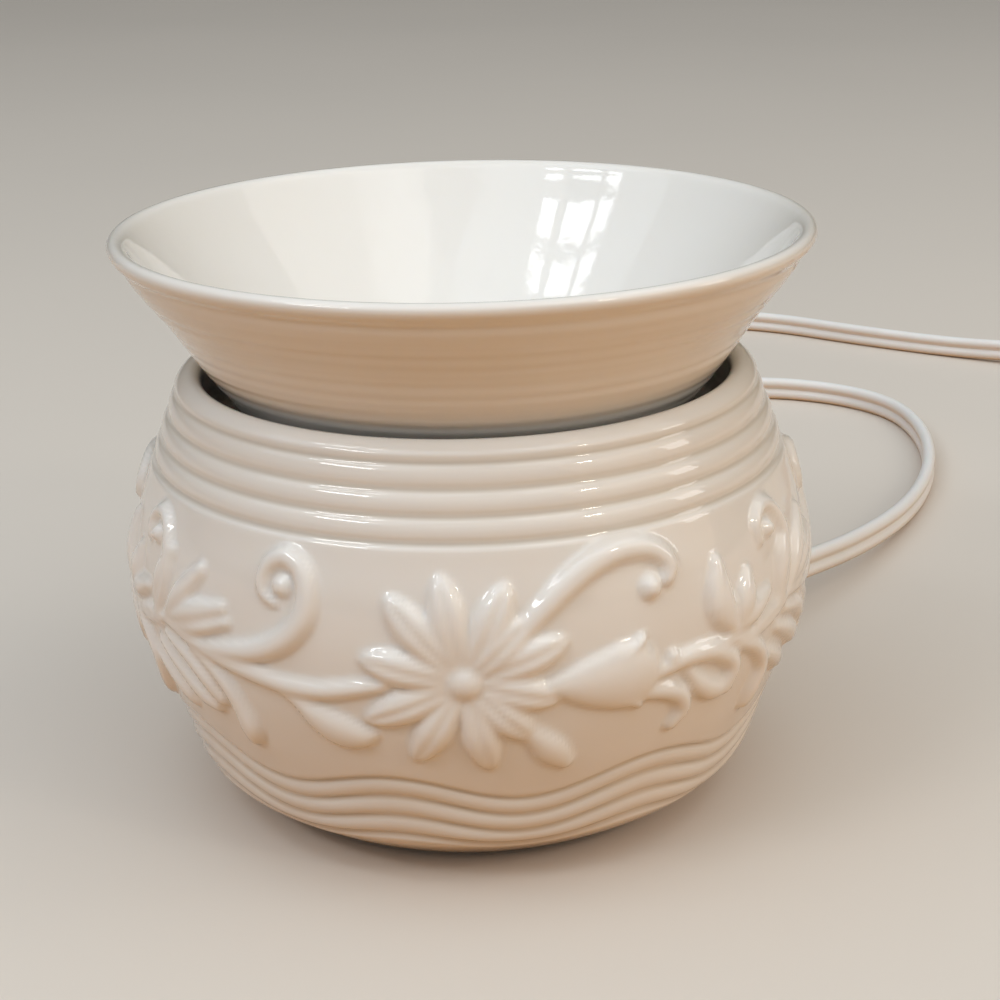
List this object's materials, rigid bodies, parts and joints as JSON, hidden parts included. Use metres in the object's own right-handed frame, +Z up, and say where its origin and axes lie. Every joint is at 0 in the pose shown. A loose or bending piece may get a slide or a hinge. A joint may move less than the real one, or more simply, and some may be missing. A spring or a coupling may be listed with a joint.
{
  "type": "electric candle warmer",
  "caption": "Electric candle warmer: a bellied glazed ceramic base with a hot plate in its mouth, a loose flared dish, and a flat cord with an inline switch and plug.",
  "frame": {"origin": "on the table, below the middle of the round base", "axes": "+Z up through the base's and the dish's shared axis, -Y towards the side that is shown in front, cord leaving at the back towards +X +Y"},
  "size_m": [0.4104, 0.413, 0.1128],
  "materials": {
    "glaze": "glossy ivory glaze",
    "zinc_steel": "zinc-plated, satin",
    "dark_rubber": "matte",
    "pan_steel": "dark, matte",
    "black_enamel": "satin black",
    "mica": "pressed mica sheet",
    "element_metal": "oxidised resistance ribbon",
    "bead_ceramic": "unglazed",
    "bare_aluminium": "plain",
    "dark_plastic": "moulded phenolic",
    "contact_brass": "plain",
    "wire_skin_live": "glass-fibre sleeve",
    "wire_skin_neutral": "glass-fibre sleeve",
    "wire_skin_link": "glass-fibre sleeve",
    "white_cord": "soft white vinyl",
    "white_switch": "satin white",
    "rocker_plastic": "satin white",
    "tie_plastic": "black tie strip",
    "plated_brass": "nickel-plated"
  },
  "bodies": {
    "base": {"base_shell": "glaze", "bottom_cover": "zinc_steel", "rubber_feet": "dark_rubber", "tie_rod": "zinc_steel", "rod_nuts": "zinc_steel", "rod_washer": "zinc_steel", "heat_pan": "pan_steel", "pan_grommet": "dark_rubber", "hot_plate": "black_enamel", "mica_upper": "mica", "heating_element": "element_metal", "mica_lower": "mica", "clamp_plate": "zinc_steel", "tab_beads": "bead_ceramic", "cutoff_cap": "bare_aluminium", "cutoff_body": "dark_plastic", "cutoff_terminals": "contact_brass", "cutoff_screws": "zinc_steel", "crimp_sleeves": "bare_aluminium", "wire_live": "wire_skin_live", "wire_neutral": "wire_skin_neutral", "wire_link": "wire_skin_link", "cord_bushing": "white_cord", "cord_stub": "white_cord", "cord_lead": "white_cord", "switch_lower": "white_switch", "switch_upper": "white_switch", "switch_terminals": "contact_brass", "switch_screws": "zinc_steel", "cord_mid": "white_cord", "cord_coil": "white_cord", "coil_tie": "tie_plastic", "cord_tail": "white_cord", "plug_body": "white_cord", "plug_blades": "plated_brass"},
    "dish": {"dish": "glaze"},
    "rocker": {"switch_rocker": "rocker_plastic", "switch_contact": "contact_brass"}
  },
  "joints": [
    {"name": "dish_lift", "type": "slide", "parent": "base", "child": "dish", "axis": [0, 0, 1], "range_m": [0, 0.045]},
    {"name": "switch_rocker_turn", "type": "hinge", "parent": "base", "child": "rocker", "pos_m": [0.24416, 0.25206, 0.0126], "axis": [0.4819, 0.8762, 0], "range_deg": [0, 18]}
  ]
}
